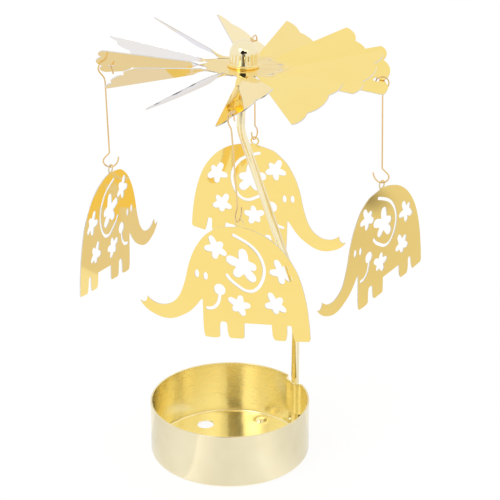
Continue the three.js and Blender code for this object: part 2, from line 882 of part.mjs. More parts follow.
const sheetTop = rotorSheet / 2 - rotorDrop;
add(rotor, "rotor_fan", rotorGeometry(), rotorGold).position.z = -rotorDrop;
add(rotor, "hub_cap", capGeometry(), hubGold).position.z = sheetTop + pressGap;
add(rotor, "bearing_cup", bearingGeometry(), needleSteel);
add(rotor, "hub_washer", washerGeometry(), hubGold).position.z =
  sheetTop - rotorSheet - washerThickness - pressGap;

// Each hook hangs plumb from its hole, and each pendant hangs from its hook, turned in from the rotor's edge
rotor.updateMatrixWorld(true);
const pendant = pendantGeometry();
for (let i = 0; i < hookBlades; i++) {
  const name = pendantNames[i];
  const hole = twisted(new THREE.Vector3(hookHoleReach, hookHoleOffset, 0), hookBladeStep * i);
  hole.z -= rotorDrop;
  rotor.localToWorld(hole);
  const outward = Math.atan2(hole.y - hubY, hole.x - hubX);

  const hanger = new THREE.Group();
  hanger.position.copy(hole);
  hanger.rotation.set(0, -radians(hookLeansDeg[name]), outward + radians(hookTurnsDeg[name]));
  carousel.add(hanger);
  add(hanger, "hook_" + name, hookGeometry(hookLengths[name]), hookWire);

  hanger.updateMatrixWorld(true);
  const tag = new THREE.Group();
  const curlFoot = new THREE.Vector3(hookShankBottom + curlFootShare * hookCurlWidth, 0, -hookLengths[name]);
  tag.position.copy(hanger.localToWorld(curlFoot));
  tag.position.z -= ringBelowCurl;
  tag.rotation.z = outward - Math.PI / 2 - radians(pendantTurnsDeg[name]);
  carousel.add(tag);
  add(tag, "elephant_" + name, pendant, pendantGold).rotation.x = Math.PI / 2;
}

export default carousel;
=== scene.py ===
import json
import math
from functools import cached_property

import bmesh
import bpy
from mathutils import Matrix, Vector


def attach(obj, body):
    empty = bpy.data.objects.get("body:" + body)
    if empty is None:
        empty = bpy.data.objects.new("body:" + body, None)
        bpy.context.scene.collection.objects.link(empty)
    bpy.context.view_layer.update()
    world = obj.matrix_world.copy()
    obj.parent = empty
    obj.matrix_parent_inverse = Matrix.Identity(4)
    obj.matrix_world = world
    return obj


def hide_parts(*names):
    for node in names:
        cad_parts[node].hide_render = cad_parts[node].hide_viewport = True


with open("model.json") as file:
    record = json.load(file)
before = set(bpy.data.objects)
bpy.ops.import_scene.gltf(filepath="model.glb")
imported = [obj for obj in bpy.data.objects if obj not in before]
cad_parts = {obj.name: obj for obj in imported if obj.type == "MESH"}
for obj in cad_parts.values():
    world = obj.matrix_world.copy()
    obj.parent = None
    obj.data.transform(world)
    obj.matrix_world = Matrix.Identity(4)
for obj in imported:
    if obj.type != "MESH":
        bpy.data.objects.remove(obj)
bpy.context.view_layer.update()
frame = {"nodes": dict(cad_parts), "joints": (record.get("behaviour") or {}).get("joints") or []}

MM = 0.001
JOINTS = {joint["name"]: joint for joint in frame["joints"]}
SIDES = ["right", "back", "left", "front"]

# Camera, as the photograph was taken
PHOTO_SIDE = 500
FOCAL_PIXELS = 2167.4
SENSOR_WIDTH = 36
CAMERA_PLACE = Vector((0.381, -771.68, 437.85)) * MM
CAMERA_PITCH = math.radians(24.333)
CAMERA_YAW = math.radians(-0.572)

# World and floor
WHITE = (1, 1, 1, 1)
FILL_LIGHT = 0.85
FLOOR_COLOR = (0.86, 0.86, 0.86, 1)
FLOOR_GLOW = 1.06
FLOOR_GLOW_SHARE = 0.82
FLOOR_RADIUS = 6
FLOOR_GAP = 0.02 * MM

# Cards that show only in the metal, in metres: name, place, width, height, strength, tint,
# whether the card lies flat, and whether it fades out to its edge
CARDS = [
    # Dark bands in the cup, the cap and the rod: painted dark reflections of what stands before
    # them
    ("camera_shade", (-0.12, -0.8, 0.56), 0.35, 0.48, 0.01, (0.6, 0.55, 0.5), False, False),
    ("cap_shade", (0.004, -0.126, 0.228), 0.13, 0.045, 0.03, (0.6, 0.55, 0.4), False, False),
    ("stem_shade", (0.004, -0.126, 0.155), 0.06, 0.09, 0.22, (1, 0.9, 0.75), False, False),
    # Soft lights before the object
    ("wide_light", (0, -1.5, 1.25), 3.4, 1.2, 1.55, (1, 1, 1), False, True),
    ("front_light", (-0.62, -0.8, 1.15), 0.8, 0.6, 5.5, (1, 1, 1), False, True),
    # Painted reflections of the floor and the backdrop round it, in lighter, darker and tinted
    # tones
    ("side_tone", (0.26, 0.03, 0.002), 0.4, 0.4, 0.8, (1, 0.93, 0.86), True, True),
    ("side_shade", (0.306, 0.061, 0.004), 0.05, 0.032, 0.2, (1, 0.9, 0.7), True, True),
    ("cool_floor", (0.1, 0.36, 0.004), 0.3, 0.29, 0.94, (0.857, 0.87, 1), True, False),
    ("floor_before", (0, -0.8, 0.003), 1.2, 0.9, 0.74, (1, 0.97, 0.93), True, False),
    ("floor_behind", (0.03, 0.29, 0.003), 0.5, 0.38, 0.84, (1, 0.93, 0.9), True, False),
    ("far_tone", (0, 1.5, 0.56), 3.4, 1.05, 0.9, (1, 0.95, 0.9), False, True),
    ("back_light", (-0.085, 0.2, 0.006), 0.13, 0.1, 1.9, (0.46, 0.52, 0.83), True, False),
]
CARD_AIM = Vector((0, 0, 160)) * MM
LAMP_AIM = Vector((0, 0, 80)) * MM

# Painted light and shade on the floor before the cup, seen only as its wall mirrors it: degrees
# from the front to the right, and level. The gradient round the axis is at a quarter there, in
# front. A ramp's colours stop at 1, so it holds the levels divided by the ring's strength.
CUP_RING_LEVELS = [
    (-110, 0.92), (-74, 0.96), (-50, 1.02), (-38, 1.06), (-36, 1.22), (-27, 1.12), (-14, 1.0),
    (-3, 0.95), (14, 0.99), (26, 1.05), (33, 1.13), (42, 1.12), (56, 0.99), (74, 0.89),
    (110, 0.9),
]
CUP_RING_FRONT = 0.25
FRONT_DEG = -90
CUP_RING_STRENGTH = 2
CUP_RING_REACH = 105 * MM
CUP_RING_HEIGHT = 0.3 * MM

# Metals
COAT_ROUGHNESS = 0.03
QUARTER_TURN = 0.25
SATIN_ROUGHNESS = 0.1
SATIN_BLEND = 1 * MM
CAP_SATIN_BELOW = 168 * MM
CUP_GRAIN_SHARE = 0.3

# Cup
CUP_RADIUS = 32 * MM
CUP_HEIGHT = 23.2 * MM
CUP_WALL = 0.7 * MM
CUP_EDGE = 2.5 * MM
INNER_CORNER = 0.9 * MM
CUP_COLUMNS = 288
RIM_ROUND = 0.22 * MM
FLOOR_HOLE = Vector((-10.2, 19.6, 0)) * MM
FLOOR_HOLE_RADIUS = 3.4 * MM
HOLE_ROUND = 0.15 * MM
HOLE_STEPS = 64
PIP = Vector((12.7, 22.7, 0)) * MM
PIP_RADIUS = 3.3 * MM
PIP_HEIGHT = 1.6 * MM
PIP_STEPS = 40
PIP_SHARES = [
    (1, 0), (0.93, 0.02), (0.86, 0.12), (0.8, 0.3), (0.72, 0.52), (0.6, 0.72), (0.44, 0.88),
    (0.24, 0.97),
]

# The clip in the cup's wall: a strap pressed in above the slit and a pocket pressed out below it
CLIP_AZIMUTH = math.radians(31.2)
CLIP_HALF_WIDTH = 5.4 * MM
CLIP_COLUMNS = 40
CLIP_FLANK_SHARE = 0.45
SLIT_LOW = 8.4 * MM
SLIT_HIGH = 9.1 * MM
POCKET_LOW = 2.4 * MM
POCKET_FULL = 3.4 * MM
WALL_HEIGHTS = [
    2.7 * MM, 3 * MM, POCKET_FULL, 5 * MM, 6.7 * MM, SLIT_LOW, SLIT_HIGH,
    11 * MM, 13.5 * MM, 16 * MM, 19 * MM, 21.5 * MM,
]
CLIP_CLEARANCE = 0.2 * MM
ROD_SET_BACK = 0.7 * MM

# Rod and needle
ROD_RADIUS = 1.6 * MM
ROD_CHAMFER = 0.25 * MM
ROD_FOOT = 3.5 * MM
ROD_LOWER_BEND = 64 * MM
ROD_LOWER_ROUND = 12 * MM
ROD_UPPER_BEND = 138 * MM
ROD_UPPER_ROUND = 16 * MM
ROD_OVERSHOOT = 1.5 * MM
ROD_TOP = 161.2 * MM
ROD_TAPER = 1.2 * MM
NEEDLE_RADIUS = 0.8 * MM
NEEDLE_TIP = 168.9 * MM
NEEDLE_POINT = 2.4 * MM
NEEDLE_DEPTH = 5 * MM
NEEDLE_ROUND = 0.1 * MM
NEEDLE_PROFILE = [
    (ROD_TOP - NEEDLE_DEPTH / 2, NEEDLE_RADIUS),
    (NEEDLE_TIP - NEEDLE_POINT, NEEDLE_RADIUS),
    (NEEDLE_TIP - NEEDLE_ROUND, 0.06 * MM),
    (NEEDLE_TIP, 0.01 * MM),
]

# Rotor
PIVOT_GAP = 0.25 * MM
ROTOR_LEAN_X = math.radians(-4.2)
ROTOR_LEAN_Y = math.radians(2.4)
SHEET = 0.4 * MM
ROTOR_DROP = 5.9 * MM
BLADES = 12
TWISTS_DEG = [32.9, 34.5, 33.2, 33, 34.1, 31.9, 33.8, 32, 32.5, 36.5, 32.6, 27.6]
SPRINGS_DEG = [0, 0, 0, 0, 0, 0, 0, 0, 9, 0, 0, 0]
LIFTS_DEG = [0.8, 1.1, -1.8, -0.1, 1.1, -1, 0.1, 1.5, 0.5, -1.1, -0.5, 9.9]
DISC_RADIUS = 14 * MM
SLIT_WIDTH = 3.3 * MM
TWIST_LENGTH = 6 * MM
LOBE_REACH = 50.2 * MM
LOBE_OFFSET = 8.6 * MM
LOBE_RADIUS = 4.4 * MM
LOBE_CORNER_DEG = 58
LOBE_NOTCH_DEG = 38
MIDDLE_TIP = 55.7 * MM
NOTCH_REACH = 53.3 * MM
NOTCH_OFFSET = 5.1 * MM
HOOK_HOLE = Vector((50.3, -4.8, 0)) * MM
HOOK_HOLE_RADIUS = 1.15 * MM
ROTOR_BORE = 3.4 * MM
BLADE_GRID_REACH = 46 * MM
NECK_STEPS = 16
BLADE_STEPS = 8
BLADE_COLUMNS = 10
EDGE_ROUND = 0.06 * MM

# Hub. The disc's top is measured from the point of the bearing's cone, the rotor's own origin.
SHEET_TOP = SHEET / 2 - ROTOR_DROP
CAP_RADIUS = 5.4 * MM
CAP_STRAIGHT = 4.9 * MM
FLANGE_RADIUS = 6.2 * MM
FLANGE_HEIGHT = 0.9 * MM
FLANGE_FINISH_TOP = 1.3 * FLANGE_HEIGHT
NECK_RADIUS = 3.1 * MM
NECK_LENGTH = 1.2 * MM
CAP_BORE = 2.45 * MM
BEARING_RADIUS = 2.43 * MM
BEARING_CROWN = 1.8 * MM
BEARING_CHAMFER = 0.5 * MM
CONE_DEPTH = 1.6 * MM
CONE_RADIUS = 1.5 * MM
WASHER_RADIUS = 4.6 * MM
WASHER_THICKNESS = 0.4 * MM
PRESS_GAP = 0.02 * MM

# Hooks
WIRE_RADIUS = 0.3 * MM
WIRE_CHAMFER = 0.08 * MM
HOOK_LENGTHS = {"right": 42.1 * MM, "back": 43.1 * MM, "left": 41.6 * MM, "front": 41.5 * MM}
HOOK_LEANS_DEG = {"right": 2, "back": 0.6, "left": 0.8, "front": 3.6}
HOOK_TURNS_DEG = {"right": 0, "back": -20, "left": 0, "front": -18}
LOOP_REACH = 4.8 * MM
LOOP_DROP = 6.6 * MM
SHANK_TOP = 2.35 * MM
SHANK_BOTTOM = 1.9 * MM
CURL_WIDTH = 6 * MM
CURL_HEIGHT = 6.1 * MM
LOOP_SHARES = [
    (-0.188, -0.5), (-0.115, -0.273), (-0.021, -0.061), (0.094, 0.091), (0.271, 0.159),
    (0.479, 0.174), (0.688, 0.159), (0.865, 0.068), (0.969, -0.091), (0.99, -0.242),
    (0.896, -0.424), (0.708, -0.591), (0.552, -0.773),
]
CURL_SHARES = [
    (0.06, 0.9), (0.2, 0.76), (0.36, 0.58), (0.42, 0.4), (0.36, 0.2), (0.18, 0.05), (-0.03, 0),
    (-0.25, 0.07), (-0.44, 0.26), (-0.54, 0.46), (-0.58, 0.69),
]

# Pendants
FRONT_FACING = 0.99
OUTLINE_CORNER = math.radians(38)
OUTLINE_STEP = 0.05 * MM
SOLID_WELD = 0.001 * MM
PLATE_WELD = 0.0005 * MM


# Camera

def make_camera():
    data = bpy.data.cameras.new("camera")
    data.sensor_width = SENSOR_WIDTH
    data.lens = FOCAL_PIXELS * SENSOR_WIDTH / PHOTO_SIDE
    camera = bpy.data.objects.new("camera", data)
    camera.location = CAMERA_PLACE
    camera.rotation_euler = (math.pi / 2 - CAMERA_PITCH, 0, CAMERA_YAW)
    bpy.context.scene.collection.objects.link(camera)
    bpy.context.scene.camera = camera


# Node trees

class Graph:
    """Short ways to build the node tree of a material or of the world."""

    def __init__(self, owner):
        owner.use_nodes = True
        self.tree = owner.node_tree
        self.tree.nodes.clear()

    @cached_property
    def coords(self):
        """Places in the object's own axes, in metres."""
        return self.add("ShaderNodeTexCoord").outputs["Object"]

    def add(self, kind, inputs=None, **settings):
        """A node. Each input that is given takes a number, a colour or another node's output."""
        node = self.tree.nodes.new(kind)
        for name, value in settings.items():
            setattr(node, name, value)
        for name, value in (inputs or {}).items():
            if isinstance(value, bpy.types.NodeSocket):
                self.tree.links.new(value, node.inputs[name])
            else:
                node.inputs[name].default_value = value
        return node

    def show(self, shader, output="ShaderNodeOutputMaterial"):
        self.add(output, {"Surface": shader.outputs[0]})

    def mixed(self, share, under, over):
        inputs = {0: share, 1: under.outputs[0], 2: over.outputs[0]}
        return self.add("ShaderNodeMixShader", inputs)

    def math(self, operation, a, b=0.0):
        return self.add("ShaderNodeMath", {0: a, 1: b}, operation=operation).outputs[0]

    def parts(self, vector):
        return self.add("ShaderNodeSeparateXYZ", {"Vector": vector}).outputs

    def noise(self, vector, scale, detail, rough=0.5):
        inputs = {"Vector": vector, "Scale": scale, "Detail": detail, "Roughness": rough}
        return self.add("ShaderNodeTexNoise", inputs).outputs["Fac"]

    def spread(self, value, low, high, from_low=0.3, from_high=0.7):
        """The value taken from one range to another and kept inside it."""
        inputs = {
            "Value": value,
            "From Min": from_low,
            "From Max": from_high,
            "To Min": low,
            "To Max": high,
        }
        return self.add("ShaderNodeMapRange", inputs).outputs["Result"]

    def stretched(self, scale):
        inputs = {"Vector": self.coords, "Scale": scale}
        return self.add("ShaderNodeMapping", inputs).outputs["Vector"]

    def around_axis(self, across, along):
        """Coordinates that run round the upright axis and up it, and the distance from it."""
        place = self.parts(self.coords)
        x, y = place["X"], place["Y"]
        angle = self.math("ARCTAN2", y, x)
        squares = self.math("ADD", self.math("MULTIPLY", x, x), self.math("MULTIPLY", y, y))
        reach = self.math("SQRT", squares)
        whole = self.add("ShaderNodeCombineXYZ", {
            "X": self.math("MULTIPLY", angle, across),
            "Y": self.math("MULTIPLY", reach, along),
            "Z": self.math("MULTIPLY", place["Z"], along),
        })
        return whole.outputs[0], reach

    def tint(self, low, high, share):
        """A colour between two, which are given as numbers or as other nodes' outputs."""
        ends = [end if isinstance(end, bpy.types.NodeSocket) else (*end, 1) for end in (low, high)]
        inputs = {"Factor": share, "A": ends[0], "B": ends[1]}
        return self.add("ShaderNodeMix", inputs, data_type="RGBA").outputs["Result"]

    def bump(self, height, strength, distance, normal=None):
        inputs = {"Height": height, "Strength": strength, "Distance": distance}
        if normal:
            inputs["Normal"] = normal
        return self.add("ShaderNodeBump", inputs).outputs["Normal"]

    def seen_by_eye(self):
        """1 for what the camera sees, straight or in a mirror, and 0 for diffuse light."""
        ray = self.add("ShaderNodeLightPath").outputs
        either = self.math("MAXIMUM", ray["Is Camera Ray"], ray["Is Glossy Ray"])
        return self.math("MAXIMUM", either, ray["Is Transmission Ray"])

    def finish(self, color, roughness, normal, coat=0.0, stretch=0.0):
        """The metal itself, with its gloss stretched round the upright axis where asked."""
        inputs = {
            "Base Color": color,
            "Metallic": 1,
            "Roughness": roughness,
            "Normal": normal,
            "Coat Weight": coat,
            "Coat Roughness": COAT_ROUGHNESS,
        }
        if stretch:
            around = self.add("ShaderNodeTangent", direction_type="RADIAL", axis="Z")
            inputs["Tangent"] = around.outputs[0]
            inputs["Anisotropic"] = stretch
            inputs["Anisotropic Rotation"] = QUARTER_TURN
        self.show(self.add("ShaderNodeBsdfPrincipled", inputs))


# Studio

def make_world():
    """White to the camera and in the metal, and a little lower as light on matt surfaces."""
    world = bpy.data.worlds.new("studio")
    bpy.context.scene.world = world
    g = Graph(world)
    white = g.add("ShaderNodeBackground", {"Color": WHITE, "Strength": 1})
    fill = g.add("ShaderNodeBackground", {"Color": WHITE, "Strength": FILL_LIGHT})
    g.show(g.mixed(g.seen_by_eye(), fill, white), "ShaderNodeOutputWorld")


def make_floor():
    """A white floor that still takes the object's shadow."""
    material = bpy.data.materials.new("floor_white")
    g = Graph(material)
    matte = g.add("ShaderNodeBsdfDiffuse", {"Color": FLOOR_COLOR})
    glow = g.add("ShaderNodeEmission", {"Color": WHITE, "Strength": FLOOR_GLOW})
    share = g.math("MULTIPLY", g.seen_by_eye(), FLOOR_GLOW_SHARE)
    g.show(g.mixed(share, matte, glow))
    bm = bmesh.new()
    bmesh.ops.create_circle(bm, cap_ends=True, segments=64, radius=FLOOR_RADIUS)
    floor = object_of("floor", bm, material)
    floor.location.z = -FLOOR_GAP


def faded(g, glow):
    """A card's light, full at its middle and gone at its edge."""
    doubled = g.add("ShaderNodeVectorMath", {0: g.coords, "Scale": 2}, operation="SCALE")
    inputs = {"Vector": doubled.outputs[0]}
    ball = g.add("ShaderNodeTexGradient", inputs, gradient_type="SPHERICAL")
    clear = g.add("ShaderNodeBsdfTransparent")
    return g.mixed(ball.outputs["Fac"], clear, glow)


def hide_but_mirrored(card):
    card.visible_camera = False
    card.visible_diffuse = False
    card.visible_shadow = False


def make_card(name, place, width, height, strength, tint, flat, soft):
    """A card that shows only in the metal. It lies flat or faces the hub."""
    material = bpy.data.materials.new(name)
    g = Graph(material)
    glow = g.add("ShaderNodeEmission", {"Color": (*tint, 1), "Strength": strength})
    g.show(faded(g, glow) if soft else glow)
    bm = bmesh.new()
    bmesh.ops.create_grid(bm, x_segments=1, y_segments=1, size=0.5)
    card = object_of(name, bm, material)
    card.scale = (width, height, 1)
    card.location = place
    aim = Vector((0, 0, 1)) if flat else CARD_AIM - Vector(place)
    card.rotation_euler = aim.to_track_quat("Z", "Y").to_euler()
    hide_but_mirrored(card)


def make_cup_ring():
    """Painted light and shade on the floor before the cup, seen only as its wall mirrors it: soft
    lighter and darker fans.
    """
    material = bpy.data.materials.new("cup_ring")
    g = Graph(material)
    fan = g.add("ShaderNodeTexGradient", {"Vector": g.coords}, gradient_type="RADIAL")
    ramp = g.add("ShaderNodeValToRGB", {"Fac": fan.outputs["Fac"]})
    stops = ramp.color_ramp.elements
    for index, (azimuth, level) in enumerate(CUP_RING_LEVELS):
        share = CUP_RING_FRONT + azimuth / 360
        stop = stops[index] if index < 2 else stops.new(share)
        stop.position = share
        stop.color = (*[level / CUP_RING_STRENGTH] * 3, 1)
    inputs = {"Color": ramp.outputs["Color"], "Strength": CUP_RING_STRENGTH}
    g.show(g.add("ShaderNodeEmission", inputs))
    bm = bmesh.new()
    steps = 64
    first = FRONT_DEG + CUP_RING_LEVELS[0][0]
    last = FRONT_DEG + CUP_RING_LEVELS[-1][0]
    rims = []
    for radius in (CUP_RADIUS, CUP_RING_REACH):
        points = arc(0, 0, radius, first, last, steps)
        rims.append([bm.verts.new((x, y, 0)) for x, y in points])
    inner, outer = rims
    for i in range(steps):
        bm.faces.new((inner[i], outer[i], outer[i + 1], inner[i + 1]))
    ring = object_of("cup_ring", bm, material)
    ring.location.z = CUP_RING_HEIGHT
    hide_but_mirrored(ring)


def make_lamp(name, place, size, power):
    data = bpy.data.lights.new(name, "AREA")
    data.size = size
    data.energy = power
    lamp = bpy.data.objects.new(name, data)
    lamp.location = place
    lamp.visible_glossy = False
    aim = LAMP_AIM - Vector(place)
    lamp.rotation_euler = aim.to_track_quat("-Z", "Y").to_euler()
    bpy.context.scene.collection.objects.link(lamp)


# Materials. Each has a deep and a pale tone, which it drifts between.

def polished(name, deep, pale, roughness, coat, ripple, satin_below=None):
    """Polished sheet: a drift of tone, hair scratches and the shallow ripple of rolled metal.
    Below the height satin_below, where one is given, it is less glossy."""
    material = bpy.data.materials.new(name)
    g = Graph(material)
    drift = g.noise(g.coords, scale=60, detail=2)
    hairs = g.noise(g.stretched((900, 7000, 2500)), scale=1, detail=4, rough=0.6)
    waves = g.noise(g.coords, scale=90, detail=1)
    color = g.tint(deep, pale, g.spread(drift, low=0.2, high=0.8))
    rough = g.spread(hairs, low=roughness * 0.6, high=roughness * 1.5)
    if satin_below:
        height = g.parts(g.coords)["Z"]
        start, end = satin_below - SATIN_BLEND, satin_below + SATIN_BLEND
        satin = g.spread(height, low=SATIN_ROUGHNESS, high=0, from_low=start, from_high=end)
        rough = g.math("ADD", rough, satin)
    fine = g.bump(hairs, strength=0.05, distance=0.01 * MM)
    normal = g.bump(waves, strength=ripple, distance=0.2 * MM, normal=fine)
    g.finish(color, rough, normal, coat)
    return material


def drawn(name, deep, pale, roughness, streak):
    """Drawn bar or wire: streaks that run along it."""
    material = bpy.data.materials.new(name)
    g = Graph(material)
    lines = g.noise(g.stretched((3000, 3000, streak)), scale=1, detail=3)
    drift = g.noise(g.coords, scale=80, detail=2)
    color = g.tint(deep, pale, g.spread(drift, low=0.1, high=0.9))
    rough = g.spread(lines, low=roughness * 0.6, high=roughness * 1.6)
    g.finish(color, rough, g.bump(lines, strength=0.08, distance=0.02 * MM), coat=0.3)
    return material


def brushed_cup(name, outside, inside):
    """Brushed brass: fine rings round the cup, pale outside and yellow inside, where its floor
    is glossier and its wall less glossy. The inside's lighter tone is partly the brass's own and
    partly painted light."""
    material = bpy.data.materials.new(name)
    g = Graph(material)
    rings, reach = g.around_axis(across=6, along=5500)
    lines = g.noise(rings, scale=1, detail=4, rough=0.6)
    grain = g.noise(g.coords, scale=2600, detail=3)
    drift = g.spread(g.noise(g.coords, scale=70, detail=2), low=0, high=1)
    height = g.parts(g.coords)["Z"]
    within_wall = g.math("LESS_THAN", reach, CUP_RADIUS - CUP_WALL * 0.6)
    above_floor = g.math("GREATER_THAN", height, CUP_WALL * 0.5)
    inner = g.math("MULTIPLY", within_wall, above_floor)
    # The inside is lighter than the outside: partly the brass's own tone, partly painted light
    color = g.tint(g.tint(*outside, drift), g.tint(*inside, drift), inner)
    brushed = g.math("MULTIPLY", lines, 1 - CUP_GRAIN_SHARE)
    satin = g.math("ADD", brushed, g.math("MULTIPLY", grain, CUP_GRAIN_SHARE))
    start, end = CUP_WALL * 1.02, CUP_WALL * 1.6
    up_wall = g.spread(height, low=-0.05, high=0.12, from_low=start, from_high=end)
    inner_rough = g.math("MULTIPLY", inner, up_wall)
    rough = g.math("ADD", g.spread(satin, low=0.11, high=0.17), inner_rough)
    fine = g.bump(grain, strength=0.02, distance=0.006 * MM)
    normal = g.bump(lines, strength=0.04, distance=0.01 * MM, normal=fine)
    g.finish(color, rough, normal, stretch=0.8)
    return material


# Meshes

def object_of(name, bm, material):
    """A new object at the origin with the mesh that was drawn."""
    mesh = bpy.data.meshes.new(name)
    bm.to_mesh(mesh)
    bm.free()
    mesh.materials.append(material)
    made = bpy.data.objects.new(name, mesh)
    bpy.context.scene.collection.objects.link(made)
    return made


def smooth(obj, sharp_deg):
    """Smooth faces, with the edges sharper than the angle kept crisp."""
    obj.data.shade_smooth()
    obj.data.set_sharp_from_angle(angle=math.radians(sharp_deg))
    return obj


def evaluated_mesh(obj):
    bpy.context.view_layer.update()
    graph = bpy.context.evaluated_depsgraph_get()
    return bpy.data.meshes.new_from_object(obj.evaluated_get(graph))


def bevelled(obj, width, limit_deg):
    """The object with its sharp edges rounded, all its modifiers worked into its mesh."""
    bevel = obj.modifiers.new("edge", "BEVEL")
    bevel.width = width
    bevel.segments = 2
    bevel.limit_method = "ANGLE"
    bevel.angle_limit = math.radians(limit_deg)
    mesh = evaluated_mesh(obj)
    obj.modifiers.clear()
    obj.data = mesh
    return obj


def show_edges(obj, material, normal, least):
    """A material of their own for the sheet's cut edges, which face away from its normal."""
    obj.data.materials.append(material)
    for face in obj.data.polygons:
        if abs(face.normal.dot(normal)) < least:
            face.material_index = 1


def dress(obj, body, node):
    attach(obj, body)
    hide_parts(node)


def arc(centre_x, centre_y, radius, start_deg, end_deg, steps):
    points = []
    for i in range(steps + 1):
        angle = math.radians(start_deg + (end_deg - start_deg) * i / steps)
        points.append((centre_x + radius * math.cos(angle), centre_y + radius * math.sin(angle)))
    return points


def circle(centre, radius, steps):
    return arc(centre.x, centre.y, radius, 0, 360, steps)[:-1]


def bridge(bm, one, other):
    """Faces between two rings of as many points."""
    count = len(one)
    for i in range(count):
        j = (i + 1) % count
        bm.faces.new((one[i], one[j], other[j], other[i]))


def fill(bm, loops):
    """Flat faces inside the first loop and outside the others."""
    edges = []
    for loop in loops:
        for a, b in zip(loop, loop[1:] + loop[:1]):
            edges.append(bm.edges.get((a, b)) or bm.edges.new((a, b)))
    bmesh.ops.triangle_fill(bm, use_beauty=True, edges=edges)


def lathe(name, profile, material, matrix, columns):
    """A turned piece from radius and height. Its profile ends on the axis, or else is closed."""
    bm = bmesh.new()
    turns = [2 * math.pi * i / columns for i in range(columns)]
    rings = []
    for radius, height in profile:
        if radius == 0:
            rings.append([bm.verts.new((0, 0, height))] * columns)
            continue
        points = [(radius * math.cos(turn), radius * math.sin(turn), height) for turn in turns]
        rings.append([bm.verts.new(point) for point in points])
    pairs = list(zip(rings, rings[1:]))
    if profile[0][0] > 0:
        pairs.append((rings[-1], rings[0]))
    for low, high in pairs:
        for i in range(columns):
            j = (i + 1) % columns
            corners = dict.fromkeys((low[i], low[j], high[j], high[i]))
            bm.faces.new(list(corners))
    bmesh.ops.recalc_face_normals(bm, faces=bm.faces)
    bm.transform(matrix)
    return object_of(name, bm, material)


def tube(name, points, radii, material, sides):
    """A round bar along points, with a radius at each and a flat cap at both ends."""
    bm = bmesh.new()
    heading = (points[1] - points[0]).normalized()
    side = heading.orthogonal().normalized()
    rings = []
    for i, point in enumerate(points):
        before = points[max(i - 1, 0)]
        after = points[min(i + 1, len(points) - 1)]
        turned = (after - before).normalized()
        side.rotate(heading.rotation_difference(turned))
        heading = turned
        other = heading.cross(side)
        ring = []
        for k in range(sides):
            angle = 2 * math.pi * k / sides
            spoke = side * math.cos(angle) + other * math.sin(angle)
            ring.append(bm.verts.new(point + spoke * radii[i]))
        rings.append(ring)
    for low, high in zip(rings, rings[1:]):
        bridge(bm, low, high)
    bm.faces.new(list(reversed(rings[0])))
    bm.faces.new(rings[-1])
    bmesh.ops.recalc_face_normals(bm, faces=bm.faces)
    return object_of(name, bm, material)


def spline(points, steps):
    """Points along a smooth curve through the given ones."""
    padded = [points[0] * 2 - points[1], *points, points[-1] * 2 - points[-2]]
    spans = len(points) - 1
    line = []
    for i in range(steps + 1):
        place = min(i * spans / steps, spans - 1e-9)
        k = int(place)
        t = place - k
        a, b, c, d = padded[k:k + 4]
        square = (2 * a - 5 * b + 4 * c - d) * t ** 2
        cube = (3 * b - a - 3 * c + d) * t ** 3
        line.append(0.5 * (2 * b + (c - a) * t + square + cube))
    return line


def clamped(value):
    return min(max(value, 0), 1)


def smoothstep(value, low, high):
    t = clamped((value - low) / (high - low))
    return t * t * (3 - 2 * t)


# Cup

def clip_press(angle, height):
    """How far the wall is pressed out, or in where negative, at an angle and a height."""
    off = (angle - CLIP_AZIMUTH + math.pi) % (2 * math.pi) - math.pi
    side = abs(off) / (CLIP_HALF_WIDTH / CUP_RADIUS)
    swell = smoothstep(1 - side, 0, CLIP_FLANK_SHARE)
    reach = ROD_RADIUS + CLIP_CLEARANCE + CUP_WALL / 2
    middle = CUP_WALL / 2 - ROD_SET_BACK
    if height > (SLIT_LOW + SLIT_HIGH) / 2:
        return (middle - reach) * swell
    return (middle + reach) * swell * smoothstep(height, POCKET_LOW, POCKET_FULL)


def cup_rows():
    """The cup's outline, radius and height, from its underside over the rim to its floor."""
    outside = [(CUP_RADIUS, z) for z in WALL_HEIGHTS]
    inside = [(CUP_RADIUS - CUP_WALL, z) for z in reversed(WALL_HEIGHTS)]
    rim_low = CUP_HEIGHT - RIM_ROUND
    rim = arc(CUP_RADIUS - RIM_ROUND, rim_low, RIM_ROUND, 0, 90, steps=4)
    rim += arc(CUP_RADIUS - CUP_WALL + RIM_ROUND, rim_low, RIM_ROUND, 90, 180, steps=4)
    outer_corner = arc(CUP_RADIUS - CUP_EDGE, CUP_EDGE, CUP_EDGE, -90, 0, steps=10)
    centre = (CUP_RADIUS - CUP_WALL - INNER_CORNER, CUP_WALL + INNER_CORNER)
    inner_corner = arc(*centre, INNER_CORNER, 0, -90, steps=8)
    return outer_corner + outside + rim + inside + inner_corner


def cup_angles():
    """Angles of the wall's columns: even, with the clip's two sides on columns of their own."""
    half = CLIP_HALF_WIDTH / CUP_RADIUS
    rest = CUP_COLUMNS - CLIP_COLUMNS
    gap = 2 * math.pi - 2 * half
    clip = [CLIP_AZIMUTH - half + 2 * half * i / CLIP_COLUMNS for i in range(CLIP_COLUMNS + 1)]
    return clip + [CLIP_AZIMUTH + half + gap * i / rest for i in range(1, rest)]


